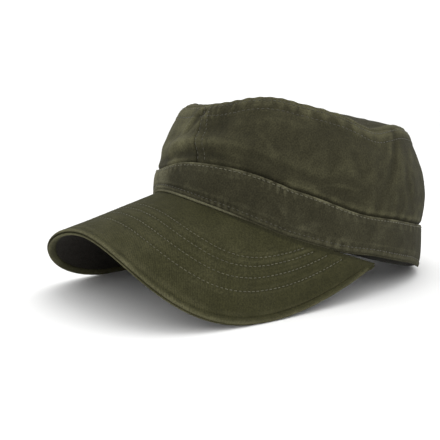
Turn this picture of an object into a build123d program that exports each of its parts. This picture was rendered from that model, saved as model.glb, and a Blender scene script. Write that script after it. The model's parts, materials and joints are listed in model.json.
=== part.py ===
from build123d import *
import os
from math import atan2, copysign, cos, degrees, pi, radians, sin, tan

# Soft military field cap with a stitched brim. Sizes are in millimetres.
# Each piece is drawn in the cap's own frame: +Z up the crown, the brim towards -Y, the
# wearer's left towards +X, the rear hem of the band at z = 0 and the centre of its oval
# at x = y = 0. The last lines stand the finished cap on its brim and its rear hem.

# Band: a four-centre oval, with an end arc at the front and rear and two flatter sides.
HALF_LENGTH = 102.0            # outer face, front to rear
HALF_WIDTH = 85.5
END_CENTRE = 23.0              # distance of each end arc's centre from the oval's centre
END_RADIUS = HALF_LENGTH - END_CENTRE
LENGTH_EXCESS = HALF_LENGTH - HALF_WIDTH
SIDE_CENTRE = LENGTH_EXCESS * (2 * END_CENTRE - LENGTH_EXCESS) / (2 * (END_CENTRE - LENGTH_EXCESS))
SIDE_RADIUS = HALF_WIDTH + SIDE_CENTRE
END_SPAN = atan2(SIDE_CENTRE, END_CENTRE)
HEM_RISE = 46.2                # the hem climbs this far from the rear to the front
HEM_POWER = 1.76
BAND_HEIGHT = 29.6             # at the sides and rear
BAND_FRONT_HEIGHT = 23.6
CLOTH = 1.2                    # folded band cloth
BACK_SEAM = radians(135)       # wall direction of the two rear crown seams

# Crown: walls that bulge and lean in to a smaller oval rim, closed by a domed top.
BAND_WAIST = 0.98              # the wall's oval where it enters the band, against the band
RIM_WIDTH = 0.82               # rim against the band's oval
RIM_LENGTH = 0.81
RIM_FRONT = 105.1              # heights of the rim
RIM_SIDE = 102.0
RIM_REAR = 95.0
BULGE_FRONT = 3.1
BULGE_REAR = 8.2
DOME = 12.3                    # the top's centre above the rim's sides
PANEL = 1.0                    # crown cloth
SEAM_GAP = 0.15                # half the space left between neighbouring panels
WALL_FIRST_RISE = 0.1          # first shaping height above the band
RIM_RISE = 0.985               # wall's upper edge, just under the domed top's surface
TOP_INSET = 1.3                # top panel's edge inside the wall's outer face
WALL_TUCK = 8.0                # crown wall hidden inside the band

# Tapes and interlining behind the crown cloth. Rises are shares of the wall's height.
TAPE = 0.5
TAPE_GAP = 0.1                 # between the crown cloth and a tape
TAPE_WIDTH = 9.0
TAPE_LOW = 0.04
SEAM_TAPE_HIGH = 0.84
RIM_TAPE_LOW = 0.86
RIM_TAPE_HIGH = 0.96
INTERLINING_SPAN = radians(48)  # each side of the front
INTERLINING_HIGH = 0.8

# Brim: a sheet rolled from side to side, from the hem's front half to its outer edge.
BRIM_LENGTH = 65.9             # past the front of the band
BRIM_CORNER = pi / 2           # wall direction where the brim starts on each side
BRIM_ROLL = 104.7              # radius of the roll
BRIM_BEND = 1.49               # half the angle it rolls through, in radians
BRIM_SLOPE = radians(26.8)
BRIM_FRONT_SHAPE = 2.31        # exponents of the outer edge's curve
BRIM_SIDE_SHAPE = 2.67
BRIM_TIP = 0.06                # blunt end of the tapering brim, as a share of its sweep
BRIM_BOARD = 1.4
BRIM_CLOTH = 0.5
BRIM_DROP = 2.0                # brim's middle below the hem
BRIM_TUCK = 0.6                # brim's root inside the band's outer face
WELT_START = 0.94              # welt's inner line, as a share of the brim's length
WELT_GAP = 0.025
PLY_GAP = 0.05                 # between the brim's plies
WELT_THICKNESS = 2.6

# Depths below the band's outer face of the layers inside it.
STRAP_DEPTH = 1.5
STRAP = 1.2
STIFFENER = 0.8
SWEATBAND_DEPTH = 3.4
SWEATBAND = 1.0
SWEATBAND_MARGIN = 2.6         # sweatband's top below the outer band's
STIFFENER_MARGIN = 1.5         # stiffener's edges inside the hem and the crown wall's tuck
STIFFENER_END = 40.0           # its ends, behind the oval's centre
LABEL_START = -54.0            # degrees from the rear
LABEL_END = -34.0
LABEL_LOW = 6.0
LABEL_HIGH = 20.0

# Rear arch, and the strap that crosses it.
ARCH_WIDTH = 74.0
ARCH_STRAIGHT = 16.0
ARCH_HEIGHT = 42.0
BINDING = 3.0
BINDING_PROUD = 0.4
STRAP_LOW = 3.0
STRAP_HIGH = 19.0
STRAP_REACH = 46.0             # degrees each side of the rear

# Cam buckle. Its places along the strap are angles from the rear towards the left.
BUCKLE_START = 5.0
BUCKLE_PLATE_END = 16.0
BUCKLE_PIN_AT = 12.0
BUCKLE_BAR_AT = 21.0
BUCKLE_PLATE = 0.8
BUCKLE_CLEARANCE = 0.3
BUCKLE_CHEEK = 1.4
BUCKLE_LOW = 1.0
BUCKLE_HIGH = 21.0
ROD = 0.9                      # radius of the pin and of the bar
RUNNING_GAP = 0.05
ROD_REACH = 0.8                # rods' centres outside the band's face
LEVER_TIP_AT = 0.5
LEVER = 1.1
BARREL = 2.1
TAB = 1.2
TAB_END = 36.0
TAB_LOW = 4.0
TAB_HIGH = 18.0
CHEEK_MARGIN = 1.6             # degrees of cheek past the bar
LIP = 1.2                      # degrees of the lever's turned-up tip

# How many points shape each sheet, round the cap and up or across it.
SIDE_PANEL_GRID = (25, 9)
BACK_PANEL_GRID = (21, 9)
TOP_GRID = (13, 15)
INTERLINING_GRID = (15, 7)
RIM_TAPE_GRID = (31, 3)
SEAM_TAPE_GRID = (3, 7)
BRIM_GRID = (25, 4)
WELT_GRID = (25, 3)
OUTLINE_POINTS = 9

REST_PITCH = 5.31              # degrees, nose up, of the cap as it stands
TALL = 200.0                   # taller and wider than the whole cap


def steps(start, end, count):
    """`count` values evenly spaced from start to end, both included."""
    return [start + (end - start) * i / (count - 1) for i in range(count)]


def blend(start, end, share):
    """The value at `share` of the way from start to end."""
    return start + (end - start) * share


def ring_point(angle, inset=0.0):
    """Point of the band's oval where its wall faces `angle`: 0 is the front, pi/2 is +X."""
    on_end = abs(cos(angle)) >= cos(END_SPAN)
    radius = (END_RADIUS if on_end else SIDE_RADIUS) - inset
    centre_x = 0 if on_end else -copysign(SIDE_CENTRE, sin(angle))
    centre_y = -copysign(END_CENTRE, cos(angle)) if on_end else 0
    return centre_x + radius * sin(angle), centre_y - radius * cos(angle)


def frontness(angle):
    """1 at the front, 0 at the rear."""
    return 0.5 + 0.5 * cos(angle)


def hem_height(angle):
    """Height of the band's lower edge."""
    return HEM_RISE * frontness(angle) ** HEM_POWER


def band_top(angle):
    """Height of the band's upper edge."""
    return hem_height(angle) + blend(BAND_HEIGHT, BAND_FRONT_HEIGHT, frontness(angle) ** 3)


def rim_height(angle):
    """Height of the seam between the wall and the top of the crown."""
    tilt = (RIM_FRONT - RIM_REAR) / 2
    sag = (RIM_FRONT + RIM_REAR) / 2 - RIM_SIDE
    return RIM_SIDE + tilt * cos(angle) + sag * cos(angle) ** 2


def wall_point(angle, rise):
    """Crown wall: rise is 0 at the band's top, 1 at the rim and negative inside the band."""
    share = max(rise, 0.0)
    x, y = ring_point(angle)
    bulge = blend(BULGE_REAR, BULGE_FRONT, frontness(angle)) * 4 * share * (1 - share)
    return (
        x * blend(BAND_WAIST, RIM_WIDTH, share) + bulge * sin(angle),
        y * blend(BAND_WAIST, RIM_LENGTH, share) - bulge * cos(angle),
        blend(band_top(angle), rim_height(angle), rise),
    )


def brim_point(sweep, reach):
    """Brim: sweep runs 0 to pi from its left corner to its right, reach 0 to 1 outwards."""
    root_angle = BRIM_CORNER * (1 - 2 * sweep / pi)
    root_x, root_y = ring_point(root_angle, BRIM_TUCK)
    root_z = hem_height(root_angle) - BRIM_DROP
    corner_x, corner_y = ring_point(BRIM_CORNER)
    corner_z = hem_height(BRIM_CORNER)
    bend = BRIM_BEND * cos(sweep)
    edge_x = corner_x * sin(bend) / sin(BRIM_BEND)
    forward = (1 - abs(cos(sweep)) ** BRIM_SIDE_SHAPE) ** (1 / BRIM_FRONT_SHAPE)
    edge_y = corner_y - (BRIM_LENGTH + HALF_LENGTH + corner_y) * forward
    edge_z = (
        corner_z
        + BRIM_ROLL * (cos(bend) - cos(BRIM_BEND))
        + tan(BRIM_SLOPE) * (edge_y - corner_y)
    )
    return blend(root_x, edge_x, reach), blend(root_y, edge_y, reach), blend(root_z, edge_z, reach)


def below(surface, u, v, depth):
    """Point of surface(u, v) moved `depth` inwards, square to the surface, and that direction."""
    nudge = 0.001
    across = Vector(*surface(u + nudge, v)) - Vector(*surface(u - nudge, v))
    upward = Vector(*surface(u, v + nudge)) - Vector(*surface(u, v - nudge))
    inward = upward.cross(across).normalized()
    return Vector(*surface(u, v)) + inward * depth, inward


def layer_skin(surface, us, vs, depth):
    """Smooth face `depth` below a surface."""
    rows = [[below(surface, u, v, depth)[0] for u in us] for v in vs]
    return Face.make_surface_from_array_of_points(rows)


def add_layer(surface, us, vs, depth, thickness):
    """Add a sheet of cloth or board that lies `depth` below a surface."""
    outer = layer_skin(surface, us, vs, depth)
    inner = layer_skin(surface, us, vs, depth + thickness)
    faces = [outer, inner]
    for edge in outer.edges():
        partner = inner.edges().sort_by_distance(edge @ 0.5)[0]
        faces.append(Face.make_surface_from_curves(edge, partner))
    add(Solid(Shell(faces)))


def add_ring(outer, inner):
    """Add a tall upright ring between two insets of the band's oval."""
    for inset, mode in ((outer, Mode.ADD), (inner, Mode.SUBTRACT)):
        with BuildSketch(Plane.XY.offset(-TALL / 2)) as oval:
            with BuildLine():
                end = degrees(END_SPAN)
                CenterArc((0, -END_CENTRE), END_RADIUS - inset, -90 - end, 2 * end)
                CenterArc((-SIDE_CENTRE, 0), SIDE_RADIUS - inset, end - 90, 180 - 2 * end)
                CenterArc((0, END_CENTRE), END_RADIUS - inset, 90 - end, 2 * end)
                CenterArc((SIDE_CENTRE, 0), SIDE_RADIUS - inset, 90 + end, 180 - 2 * end)
            make_face()
        extrude(oval.sketch, amount=TALL, mode=mode)


def keep_between(low_edge, high_edge, start=0.0, end=pi):
    """Keep the part of an upright ring between two edges given as heights by wall direction."""
    angles = steps(start, end, OUTLINE_POINTS)
    low = [(ring_point(angle)[1], low_edge(angle)) for angle in angles]
    high = [(ring_point(angle)[1], high_edge(angle)) for angle in angles]
    with BuildSketch(Plane.YZ.offset(-TALL / 2)) as profile:
        with BuildLine():
            Spline(*low)
            Line(low[-1], high[-1])
            Spline(*reversed(high))
            Line(high[0], low[0])
        make_face()
    extrude(profile.sketch, amount=TALL, mode=Mode.INTERSECT)


def rear_point(angle, radius):
    """Point on an arc about the rear end centre, `angle` degrees from the rear towards +X."""
    return radius * sin(radians(angle)), END_CENTRE + radius * cos(radians(angle))


def add_rear_strip(start, end, outer, thickness, low, high):
    """Add a curved strip behind the rear end arc, between two angles in degrees."""
    with BuildSketch(Plane.XY.offset(low)) as strip:
        with BuildLine():
            CenterArc((0, END_CENTRE), outer, 90 - end, end - start)
            CenterArc((0, END_CENTRE), outer - thickness, 90 - end, end - start)
            Line(rear_point(start, outer), rear_point(start, outer - thickness))
            Line(rear_point(end, outer), rear_point(end, outer - thickness))
        make_face()
    extrude(strip.sketch, amount=high - low)


def add_rod(angle, radius, low, high, mode=Mode.ADD):
    """Add or cut an upright round bar of the buckle."""
    with BuildSketch(Plane.XY.offset(low)) as rod:
        with Locations(rear_point(angle, END_RADIUS + ROD_REACH)):
            Circle(radius)
    extrude(rod.sketch, amount=high - low, mode=mode)


def cut_arch(border=0.0, mode=Mode.SUBTRACT):
    """Cut the rear arch, or keep what is inside it, with `border` left round its outline."""
    half = ARCH_WIDTH / 2 - border
    crest = ARCH_HEIGHT - border
    with BuildSketch(Plane.XZ) as arch:
        with BuildLine():
            Line((-half, -TALL / 2), (half, -TALL / 2))
            Line((half, -TALL / 2), (half, ARCH_STRAIGHT))
            ThreePointArc((half, ARCH_STRAIGHT), (0, crest), (-half, ARCH_STRAIGHT))
            Line((-half, ARCH_STRAIGHT), (-half, -TALL / 2))
        make_face()
    extrude(arch.sketch, amount=-TALL, mode=mode)


os.makedirs("parts", exist_ok=True)

# Crown walls: two side panels that meet at the front centre, and a rear panel.
seam_angle = SEAM_GAP / HALF_LENGTH
tuck = [-WALL_TUCK / (RIM_SIDE - BAND_HEIGHT), 0.0]
wall_rises = tuck + steps(WALL_FIRST_RISE, RIM_RISE, SIDE_PANEL_GRID[1])

with BuildPart() as crown_side_left:
    left_angles = steps(seam_angle, BACK_SEAM - seam_angle, SIDE_PANEL_GRID[0])
    add_layer(wall_point, left_angles, wall_rises, 0, PANEL)
crown_side_left.part.label = "crown_side_left"

with BuildPart() as crown_side_right:
    right_angles = steps(seam_angle - BACK_SEAM, -seam_angle, SIDE_PANEL_GRID[0])
    add_layer(wall_point, right_angles, wall_rises, 0, PANEL)
crown_side_right.part.label = "crown_side_right"

with BuildPart() as crown_back_panel:
    back_angles = steps(BACK_SEAM + seam_angle, 2 * pi - BACK_SEAM - seam_angle, BACK_PANEL_GRID[0])
    add_layer(wall_point, back_angles, wall_rises, 0, PANEL)
    cut_arch()
crown_back_panel.part.label = "crown_back_panel"


def dome_point(x, y):
    """Top of the crown over a place in plan, flattest in the middle."""
    angle = atan2(x / RIM_WIDTH, -y / RIM_LENGTH)
    rim_x, rim_y, rim_z = wall_point(angle, 1.0)
    spread = (x * x + y * y) / (rim_x * rim_x + rim_y * rim_y)
    return x, y, blend(RIM_SIDE + DOME, rim_z, spread)


# Domed top, cut to the rim's oval inside the wall panels.
with BuildPart() as crown_top_panel:
    half_x = HALF_WIDTH * RIM_WIDTH
    half_y = HALF_LENGTH * RIM_LENGTH
    across = steps(-half_x, half_x, TOP_GRID[0])
    along = steps(-half_y, half_y, TOP_GRID[1])
    add_layer(dome_point, across, along, 0, PANEL)
    with BuildSketch(Plane.XY) as top_outline:
        with BuildLine():
            angles = steps(0, 2 * pi, SIDE_PANEL_GRID[0])[:-1]
            rim = [below(wall_point, angle, RIM_RISE, TOP_INSET)[0] for angle in angles]
            Spline(*[(point.X, point.Y) for point in rim], periodic=True)
        make_face()
    extrude(top_outline.sketch, amount=TALL, mode=Mode.INTERSECT)
crown_top_panel.part.label = "crown_top_panel"

# Stiffening cloth behind the front, and the tapes over the crown's seams.
with BuildPart() as front_interlining:
    front_angles = steps(-INTERLINING_SPAN, INTERLINING_SPAN, INTERLINING_GRID[0])
    front_rises = steps(TAPE_LOW, INTERLINING_HIGH, INTERLINING_GRID[1])
    add_layer(wall_point, front_angles, front_rises, PANEL + 2 * TAPE, TAPE)
front_interlining.part.label = "front_interlining"

with BuildPart() as crown_rim_tape:
    rim_rises = steps(RIM_TAPE_LOW, RIM_TAPE_HIGH, RIM_TAPE_GRID[1])
    for side in (0, pi):
        half_angles = steps(side + seam_angle, side + pi - seam_angle, RIM_TAPE_GRID[0])
        add_layer(wall_point, half_angles, rim_rises, PANEL + TAPE_GAP, TAPE - TAPE_GAP)
crown_rim_tape.part.label = "crown_rim_tape"

seam_tapes = {"seam_tape_front": 0.0, "seam_tape_left": BACK_SEAM, "seam_tape_right": -BACK_SEAM}
seam_tape_parts = []
half_tape = TAPE_WIDTH / 2 / HALF_WIDTH
tape_rises = steps(TAPE_LOW, SEAM_TAPE_HIGH, SEAM_TAPE_GRID[1])
for name, seam in seam_tapes.items():
    tape_angles = steps(seam - half_tape, seam + half_tape, SEAM_TAPE_GRID[0])
    with BuildPart() as seam_tape:
        add_layer(wall_point, tape_angles, tape_rises, PANEL + TAPE_GAP, TAPE - TAPE_GAP)
    seam_tape.part.label = name
    seam_tape_parts.append(seam_tape.part)

# Outer band, open at the rear arch, with the stiffener and the sweatband inside it.
with BuildPart() as outer_band:
    add_ring(0, CLOTH)
    keep_between(hem_height, band_top)
    cut_arch()
outer_band.part.label = "outer_band"


def stiffener_low(angle):
    """Lower edge of the band's stiffener, just above the hem."""
    return hem_height(angle) + STIFFENER_MARGIN


def stiffener_high(angle):
    """Upper edge of the band's stiffener, below the crown wall's tuck."""
    return band_top(angle) - WALL_TUCK - STIFFENER_MARGIN


with BuildPart() as band_stiffener:
    add_ring(STRAP_DEPTH, STRAP_DEPTH + STIFFENER)
    keep_between(stiffener_low, stiffener_high)
    with BuildSketch(Plane.XY.offset(-TALL / 2)) as front_part:
        with Locations((0, STIFFENER_END - TALL / 2)):
            Rectangle(TALL, TALL)
    extrude(front_part.sketch, amount=TALL, mode=Mode.INTERSECT)
band_stiffener.part.label = "band_stiffener"


def sweatband_top(angle):
    """Upper edge of the sweatband."""
    return band_top(angle) - SWEATBAND_MARGIN


with BuildPart() as sweatband:
    add_ring(SWEATBAND_DEPTH, SWEATBAND_DEPTH + SWEATBAND)
    keep_between(hem_height, sweatband_top)
    cut_arch()
sweatband.part.label = "sweatband"

with BuildPart() as arch_binding:
    add_ring(-BINDING_PROUD, CLOTH)
    with BuildSketch(Plane.XZ) as rear_window:
        with Locations((0, ARCH_HEIGHT / 2)):
            Rectangle(TALL, ARCH_HEIGHT)
    extrude(rear_window.sketch, amount=-TALL, mode=Mode.INTERSECT)
    cut_arch(mode=Mode.INTERSECT)
    cut_arch(border=BINDING)
arch_binding.part.label = "arch_binding"

# Brim: a board between two covers, with a welt folded round the outer edge.
sweeps = [pi / 2 - (pi / 2 - BRIM_TIP) * cos(turn) for turn in steps(0, pi, BRIM_GRID[0])]
reaches = steps(0.0, WELT_START - WELT_GAP, BRIM_GRID[1])

with BuildPart() as brim_board:
    add_layer(brim_point, sweeps, reaches, -BRIM_BOARD / 2, BRIM_BOARD)
brim_board.part.label = "brim_board"

with BuildPart() as brim_upper_cover:
    add_layer(brim_point, sweeps, reaches, -BRIM_BOARD / 2 - PLY_GAP - BRIM_CLOTH, BRIM_CLOTH)
brim_upper_cover.part.label = "brim_upper_cover"

with BuildPart() as brim_under_cover:
    add_layer(brim_point, sweeps, reaches, BRIM_BOARD / 2 + PLY_GAP, BRIM_CLOTH)
brim_under_cover.part.label = "brim_under_cover"

with BuildPart() as brim_edge_welt:
    welt_reaches = steps(WELT_START, 1.0, WELT_GRID[1])
    add_layer(brim_point, sweeps, welt_reaches, -WELT_THICKNESS / 2, WELT_THICKNESS)
brim_edge_welt.part.label = "brim_edge_welt"

# Strap across the arch, its ends between the outer band and the sweatband.
with BuildPart() as back_strap:
    add_rear_strip(-STRAP_REACH, STRAP_REACH, END_RADIUS - STRAP_DEPTH, STRAP, STRAP_LOW, STRAP_HIGH)
back_strap.part.label = "back_strap"

# Cam buckle: a plate behind the strap, two cheeks, a bar for the cloth tab and a lever.
with BuildPart() as buckle_frame:
    plate_outer = END_RADIUS - STRAP_DEPTH - STRAP - BUCKLE_CLEARANCE
    add_rear_strip(BUCKLE_START, BUCKLE_PLATE_END, plate_outer, BUCKLE_PLATE, BUCKLE_LOW, BUCKLE_HIGH)
    cheek_outer = END_RADIUS + ROD_REACH + 2 * ROD
    cheek_depth = cheek_outer - plate_outer + BUCKLE_PLATE
    cheek_end = BUCKLE_BAR_AT + CHEEK_MARGIN
    for low in (BUCKLE_LOW, BUCKLE_HIGH - BUCKLE_CHEEK):
        high = low + BUCKLE_CHEEK
        add_rear_strip(BUCKLE_START, BUCKLE_PLATE_END, cheek_outer, cheek_depth, low, high)
        add_rear_strip(BUCKLE_START, cheek_end, cheek_outer, 4 * ROD, low, high)
    add_rod(BUCKLE_BAR_AT, ROD, BUCKLE_LOW, BUCKLE_HIGH)
    add_rod(BUCKLE_PIN_AT, ROD + RUNNING_GAP, BUCKLE_LOW, BUCKLE_HIGH, mode=Mode.SUBTRACT)
buckle_frame.part.label = "buckle_frame"

with BuildPart() as buckle_pin:
    add_rod(BUCKLE_PIN_AT, ROD, BUCKLE_LOW, BUCKLE_HIGH)
buckle_pin.part.label = "buckle_pin"

lever_low = BUCKLE_LOW + BUCKLE_CHEEK + BUCKLE_CLEARANCE
lever_high = BUCKLE_HIGH - BUCKLE_CHEEK - BUCKLE_CLEARANCE
with BuildPart() as buckle_lever:
    add_rod(BUCKLE_PIN_AT, BARREL, lever_low, lever_high)
    lever_outer = END_RADIUS + ROD_REACH + LEVER / 2
    add_rear_strip(LEVER_TIP_AT, BUCKLE_PIN_AT, lever_outer, LEVER, lever_low, lever_high)
    add_rear_strip(LEVER_TIP_AT - LIP, LEVER_TIP_AT, lever_outer + LEVER, 2 * LEVER, lever_low, lever_high)
    add_rod(BUCKLE_PIN_AT, ROD + RUNNING_GAP, lever_low, lever_high, mode=Mode.SUBTRACT)
buckle_lever.part.label = "buckle_lever"

with BuildPart() as buckle_tab:
    add_rod(BUCKLE_BAR_AT, BARREL, TAB_LOW, TAB_HIGH)
    tab_outer = END_RADIUS + BINDING_PROUD + RUNNING_GAP + TAB
    add_rear_strip(BUCKLE_BAR_AT, TAB_END, tab_outer, TAB, TAB_LOW, TAB_HIGH)
    add_rod(BUCKLE_BAR_AT, ROD + RUNNING_GAP, TAB_LOW, TAB_HIGH, mode=Mode.SUBTRACT)
buckle_tab.part.label = "buckle_tab"

# Blank size label, sewn to the inner face of the sweatband.
with BuildPart() as care_label:
    label_outer = END_RADIUS - SWEATBAND_DEPTH - SWEATBAND - TAPE_GAP
    add_rear_strip(LABEL_START, LABEL_END, label_outer, TAPE, LABEL_LOW, LABEL_HIGH)
care_label.part.label = "care_label"

pieces = [
    crown_side_left.part, crown_side_right.part, crown_back_panel.part, crown_top_panel.part,
    front_interlining.part, crown_rim_tape.part, *seam_tape_parts, outer_band.part,
    band_stiffener.part, sweatband.part, arch_binding.part, brim_board.part,
    brim_upper_cover.part, brim_under_cover.part, brim_edge_welt.part, back_strap.part,
    buckle_frame.part, buckle_pin.part, buckle_lever.part, buckle_tab.part, care_label.part,
]

# The cap stands on its rear hem and on the brim's two lowest places, nose up by this much.
standing = Rot(-REST_PITCH, 0, 0)
footprint = Compound([standing * piece for piece in pieces]).bounding_box()
placing = Pos(-footprint.center().X, -footprint.center().Y, -footprint.min.Z) * standing
for piece in pieces:
    export_step(placing * piece, f"parts/{piece.label}.step")
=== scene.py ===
import json
import math

import bpy
import numpy as np
from mathutils import Matrix, Vector, noise


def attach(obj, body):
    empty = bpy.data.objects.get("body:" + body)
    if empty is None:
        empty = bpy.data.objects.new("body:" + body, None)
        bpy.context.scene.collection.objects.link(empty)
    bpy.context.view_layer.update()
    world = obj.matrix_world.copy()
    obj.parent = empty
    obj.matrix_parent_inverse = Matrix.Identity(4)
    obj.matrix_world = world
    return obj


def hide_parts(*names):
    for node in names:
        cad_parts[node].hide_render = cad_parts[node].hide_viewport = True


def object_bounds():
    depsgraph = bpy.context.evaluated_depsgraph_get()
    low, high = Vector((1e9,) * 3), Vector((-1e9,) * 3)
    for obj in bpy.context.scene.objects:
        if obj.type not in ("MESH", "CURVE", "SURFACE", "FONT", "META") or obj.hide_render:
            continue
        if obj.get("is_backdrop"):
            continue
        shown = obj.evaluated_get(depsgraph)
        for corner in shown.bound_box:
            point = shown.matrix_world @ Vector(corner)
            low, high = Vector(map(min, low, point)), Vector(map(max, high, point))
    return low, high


# A soft military field cap: washed olive twill, panelled crown, banded, with a stitched brim.
# Shapes are worked out in the cap's own frame, in mm: +Z up the crown, brim towards -Y,
# wearer's left towards +X. `to_row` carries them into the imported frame, in metres.

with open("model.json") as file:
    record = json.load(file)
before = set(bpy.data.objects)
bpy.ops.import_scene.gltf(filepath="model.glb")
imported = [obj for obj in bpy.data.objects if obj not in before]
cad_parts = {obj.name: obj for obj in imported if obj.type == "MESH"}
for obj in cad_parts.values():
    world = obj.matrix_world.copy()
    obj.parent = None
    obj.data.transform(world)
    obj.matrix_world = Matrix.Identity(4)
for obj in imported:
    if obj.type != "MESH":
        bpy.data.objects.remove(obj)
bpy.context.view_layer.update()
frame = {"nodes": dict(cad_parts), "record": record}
MM = 0.001
FLOOR_GAP = 0.0001             # cloth that rests on the floor is flattened to this height

# Driving dimensions, as the CAD model has them.
HALF_LENGTH = 102.0
HALF_WIDTH = 85.5
END_CENTRE = 23.0
END_RADIUS = HALF_LENGTH - END_CENTRE
LENGTH_EXCESS = HALF_LENGTH - HALF_WIDTH
SIDE_CENTRE = LENGTH_EXCESS * (2 * END_CENTRE - LENGTH_EXCESS) / (2 * (END_CENTRE - LENGTH_EXCESS))
SIDE_RADIUS = HALF_WIDTH + SIDE_CENTRE
END_SPAN = math.atan2(SIDE_CENTRE, END_CENTRE)
HEM_RISE = 46.2
HEM_POWER = 1.76
BAND_HEIGHT = 29.6
BAND_FRONT_HEIGHT = 23.6
BACK_SEAM = math.radians(135)
BAND_WAIST = 0.98
RIM_WIDTH = 0.82
RIM_LENGTH = 0.81
RIM_FRONT = 105.1
RIM_SIDE = 102.0
RIM_REAR = 95.0
BULGE_FRONT = 3.1
BULGE_REAR = 8.2
TOP_MIDDLE = 108.0
BRIM_LENGTH = 65.9
BRIM_ROLL = 104.7
BRIM_BEND = 1.49
BRIM_SLOPE = math.radians(26.8)
BRIM_FRONT_SHAPE = 2.31
BRIM_SIDE_SHAPE = 2.67
BRIM_DROP = 2.0
BRIM_TUCK = 0.6
STRAP_LOW = 3.0
STRAP_HIGH = 19.0
STRAP_REACH = math.radians(46)
ARCH_HALF_WIDTH = 37.0
ARCH_STRAIGHT = 16.0
ARCH_HEIGHT = 42.0

# The cap's frame, read from the hinge that carries the strap round the rear arc.
joints = {joint["name"]: joint for joint in frame["record"]["behaviour"]["joints"]}
CAP_UP = np.array(joints["strap_adjust"]["axis"])
CAP_LEFT = np.array([1.0, 0.0, 0.0])
CAP_BACK = np.cross(CAP_UP, CAP_LEFT)
CAP_ORIGIN = np.array(joints["strap_adjust"]["pos_m"]) - CAP_BACK * END_CENTRE * MM


def to_row(points):
    """Points in the cap's frame, in mm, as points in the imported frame, in metres."""
    points = np.asarray(points, dtype=float)
    axes = np.stack([CAP_LEFT, CAP_BACK, CAP_UP])
    return CAP_ORIGIN + MM * points @ axes


# ---- shape of the cap

def blend(start, end, share):
    return start + (end - start) * share


def smooth(value, low, high):
    """0 below low, 1 above high, with a smooth rise between."""
    share = np.clip((value - low) / (high - low), 0, 1)
    return share * share * (3 - 2 * share)


def ridge(value, centre, width):
    """A smooth hump, 1 at the centre."""
    return np.exp(-(((value - centre) / width) ** 2))


def stacked(*parts):
    """Coordinates, one array each, as one array of points."""
    return np.stack(np.broadcast_arrays(*parts), axis=-1)


def unit(vectors):
    return vectors / np.maximum(np.linalg.norm(vectors, axis=-1, keepdims=True), 1e-12)


def ring(angle, inset=0.0):
    """The band's oval where its wall faces `angle`: 0 is the front, pi/2 is +X."""
    on_end = np.abs(np.cos(angle)) >= math.cos(END_SPAN)
    radius = np.where(on_end, END_RADIUS, SIDE_RADIUS) - inset
    centre_x = np.where(on_end, 0, -np.sign(np.sin(angle)) * SIDE_CENTRE)
    centre_y = np.where(on_end, -np.sign(np.cos(angle)) * END_CENTRE, 0)
    return centre_x + radius * np.sin(angle), centre_y - radius * np.cos(angle)


def frontness(angle):
    return 0.5 + 0.5 * np.cos(angle)


def wrapped(angle):
    """The same direction as an angle from -pi to pi."""
    return (angle + math.pi) % (2 * math.pi) - math.pi


def facing(angle):
    """Level unit vectors that point out of the cap where its wall faces `angle`."""
    return stacked(np.sin(angle), -np.cos(angle), 0 * angle)


def rear_arc(radius, angle, height):
    """Points on an arc about the centre of the band's rounded rear."""
    return stacked(radius * np.sin(angle), END_CENTRE - radius * np.cos(angle), height)


def cut_hem(angle):
    return HEM_RISE * frontness(angle) ** HEM_POWER


def hem_height(angle):
    """The hem as it sits: a little high beside the front, towards the wearer's right."""
    return cut_hem(angle) + 3.4 * ridge(wrapped(angle), -0.30, 0.42)


def band_slack(angle):
    """How far the soft band's top edge stands above its cut height, in mm."""
    turned = wrapped(angle)
    return (2.9 * ridge(turned, 0.75, 0.42) - 6.0 * ridge(turned, -0.36, 0.38)
            - 2.4 * ridge(turned, 1.42, 0.2))


def rim_slack(angle):
    """How far the soft rim stands above its cut height, in mm."""
    turned = wrapped(angle)
    return (7.4 * ridge(turned, 0.76, 0.45) - 6.0 * ridge(turned, 1.58, 0.19)
            + 4.0 * ridge(turned, -1.1, 0.3))


def band_top(angle):
    height = blend(BAND_HEIGHT, BAND_FRONT_HEIGHT, frontness(angle) ** 3)
    return cut_hem(angle) + height + band_slack(angle)


def rim_height(angle):
    tilt = (RIM_FRONT - RIM_REAR) / 2
    sag = (RIM_FRONT + RIM_REAR) / 2 - RIM_SIDE
    return RIM_SIDE + tilt * np.cos(angle) + sag * np.cos(angle) ** 2 + rim_slack(angle)


def wall_base(angle, rise):
    """Crown wall without its wrinkles: rise is 0 at the band's top and 1 at the rim."""
    share = np.maximum(rise, 0.0)
    x, y = ring(angle)
    bulge = blend(BULGE_REAR, BULGE_FRONT, frontness(angle)) * 4 * share * (1 - share)
    return stacked(x * blend(BAND_WAIST, RIM_WIDTH, share) + bulge * np.sin(angle),
        y * blend(BAND_WAIST, RIM_LENGTH, share) - bulge * np.cos(angle),
        blend(band_top(angle), rim_height(angle), rise))


def brim_base(sweep, reach):
    """Middle of the brim: sweep runs 0 to pi from left to right, reach 0 to 1 outwards."""
    root_angle = math.pi / 2 * (1 - 2 * sweep / math.pi)
    root_x, root_y = ring(root_angle, BRIM_TUCK)
    root_z = hem_height(root_angle) - BRIM_DROP
    corner_z = float(hem_height(math.pi / 2))
    bend = BRIM_BEND * np.cos(sweep)
    edge_x = HALF_WIDTH * np.sin(bend) / math.sin(BRIM_BEND)
    forward = (1 - np.abs(np.cos(sweep)) ** BRIM_SIDE_SHAPE) ** (1 / BRIM_FRONT_SHAPE)
    edge_y = -(BRIM_LENGTH + HALF_LENGTH) * forward
    flare = 2.4 * ridge(sweep, 2.0, 0.5)
    edge_x, edge_y = edge_x - 0.6 * flare, edge_y - 0.8 * flare
    edge_z = (corner_z + BRIM_ROLL * (np.cos(bend) - math.cos(BRIM_BEND))
              + math.tan(BRIM_SLOPE) * edge_y)
    return stacked(blend(root_x, edge_x, reach), blend(root_y, edge_y, reach),
                   blend(root_z, edge_z, reach))


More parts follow.
